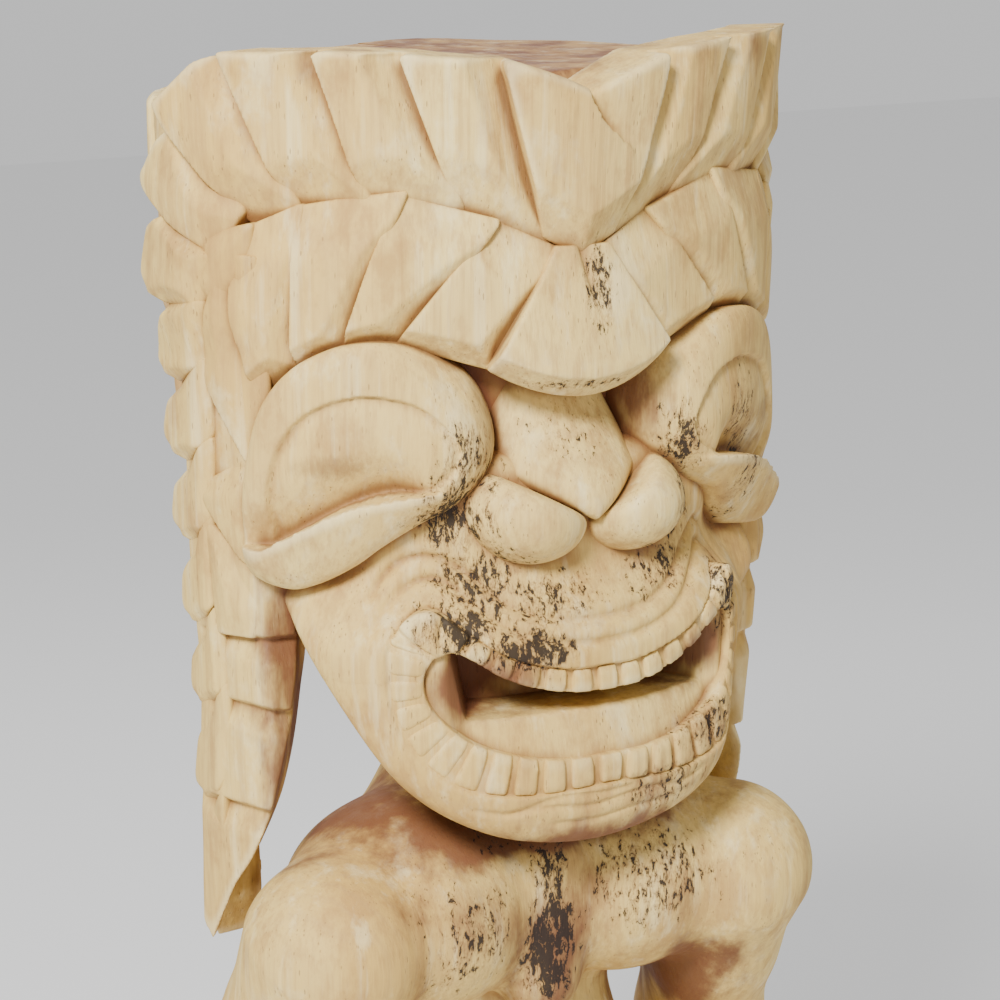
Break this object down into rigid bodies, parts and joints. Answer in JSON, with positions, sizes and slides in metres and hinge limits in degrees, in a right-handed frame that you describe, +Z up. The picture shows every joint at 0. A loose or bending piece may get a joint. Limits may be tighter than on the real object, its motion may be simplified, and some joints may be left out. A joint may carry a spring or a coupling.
{
  "type": "tiki figure",
  "caption": "Standing carved wooden tiki figure with a petalled headdress, side lappets, large face, bent limbs and an oval base.",
  "frame": {"origin": "centre of the bounding box's underside, on the flat underside of the base", "axes": "+Z up; the figure faces -Y and its right hand is on -X"},
  "size_m": [0.3678, 0.3, 0.9992],
  "materials": {
    "pale_wood": "dry unsealed pale hardwood, sanded, fine vertical grain",
    "cream_wood": "the same wood, knife-cut facets, slightly lighter",
    "stained_wood": "the same wood with tan and brown stain left in the recesses"
  },
  "bodies": {
    "root": {"base_plinth": "stained_wood", "right_foot": "cream_wood", "left_foot": "cream_wood", "right_calf": "pale_wood", "left_calf": "pale_wood", "right_thigh": "pale_wood", "left_thigh": "pale_wood", "loincloth": "stained_wood", "belly": "pale_wood", "chest": "pale_wood", "right_upper_arm": "pale_wood", "left_upper_arm": "pale_wood", "right_forearm": "pale_wood", "left_forearm": "pale_wood", "right_hand": "cream_wood", "left_hand": "cream_wood", "neck": "stained_wood", "head_log": "stained_wood", "back_mane": "stained_wood", "upper_lip": "pale_wood", "lower_jaw": "pale_wood", "upper_teeth": "cream_wood", "lower_teeth": "cream_wood", "tongue": "stained_wood", "right_eye": "cream_wood", "left_eye": "cream_wood", "nose_bridge": "cream_wood", "right_nostril": "cream_wood", "left_nostril": "cream_wood", "crown_shield": "cream_wood", "right_crown": "cream_wood", "left_crown": "cream_wood", "back_crown": "cream_wood", "brow_shield": "cream_wood", "right_brow": "cream_wood", "left_brow": "cream_wood", "right_lappet": "pale_wood", "left_lappet": "pale_wood"}
  },
  "joints": []
}
